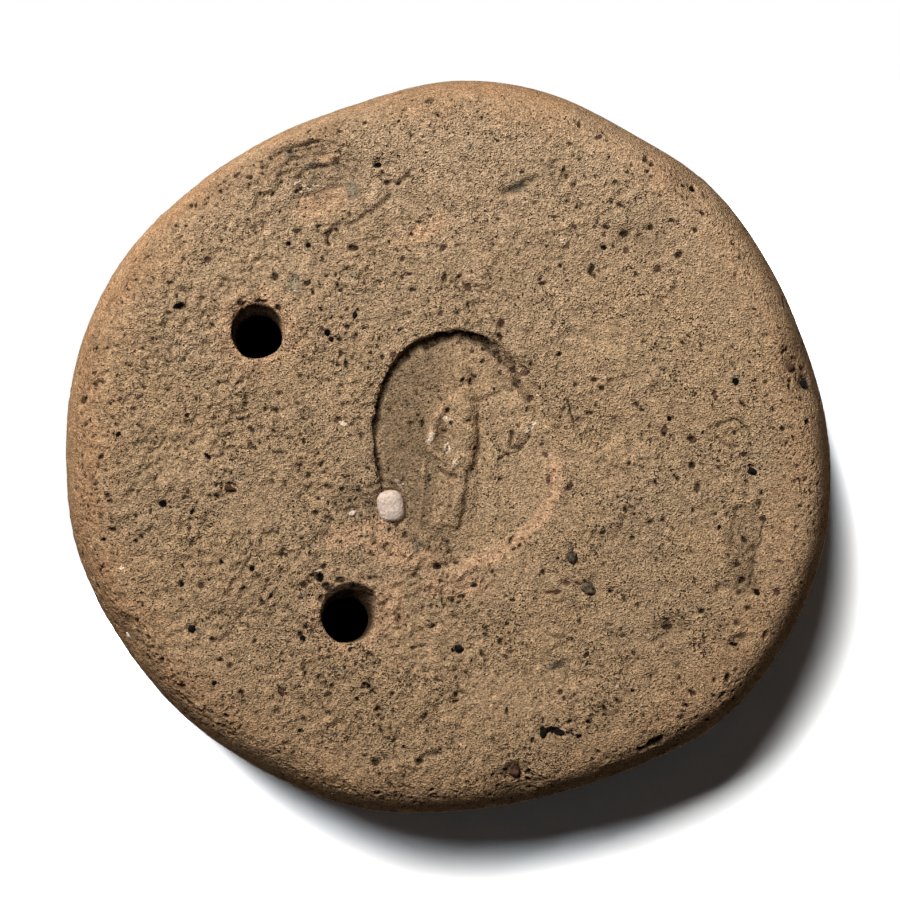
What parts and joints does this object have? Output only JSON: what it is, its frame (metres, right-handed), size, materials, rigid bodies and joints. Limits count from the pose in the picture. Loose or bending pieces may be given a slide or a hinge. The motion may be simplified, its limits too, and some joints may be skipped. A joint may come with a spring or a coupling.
{
  "type": "clay disc pendant",
  "caption": "Thick hand-shaped fired-clay disc with cord holes near one edge and an oval seal impression of a worn standing figure.",
  "frame": {"origin": "middle of the disc's outline, on the plane of its flat back", "axes": "+Z out of the stamped face, +X along the widest size away from the cord holes, +Y towards the top of the stamp"},
  "size_m": [0.086, 0.0822, 0.0225],
  "materials": {
    "clay": "matt, sandy, buff to orange",
    "white_stone": "matt, warm white",
    "black_stone": "satin, broken",
    "grey_stone": "matt",
    "red_stone": "matt"
  },
  "bodies": {
    "root": {"clay_disk": "clay", "white_pebble": "white_stone", "black_grit_1": "black_stone", "black_grit_2": "black_stone", "black_grit_3": "black_stone", "black_grit_4": "black_stone", "black_grit_5": "black_stone", "black_grit_6": "black_stone", "black_grit_7": "black_stone", "black_grit_8": "black_stone", "black_grit_9": "black_stone", "grey_grit_1": "grey_stone", "grey_grit_2": "grey_stone", "red_grit_1": "red_stone", "red_grit_2": "red_stone", "red_grit_3": "red_stone", "red_grit_4": "red_stone", "white_grit_1": "white_stone", "white_grit_2": "white_stone"}
  },
  "joints": []
}
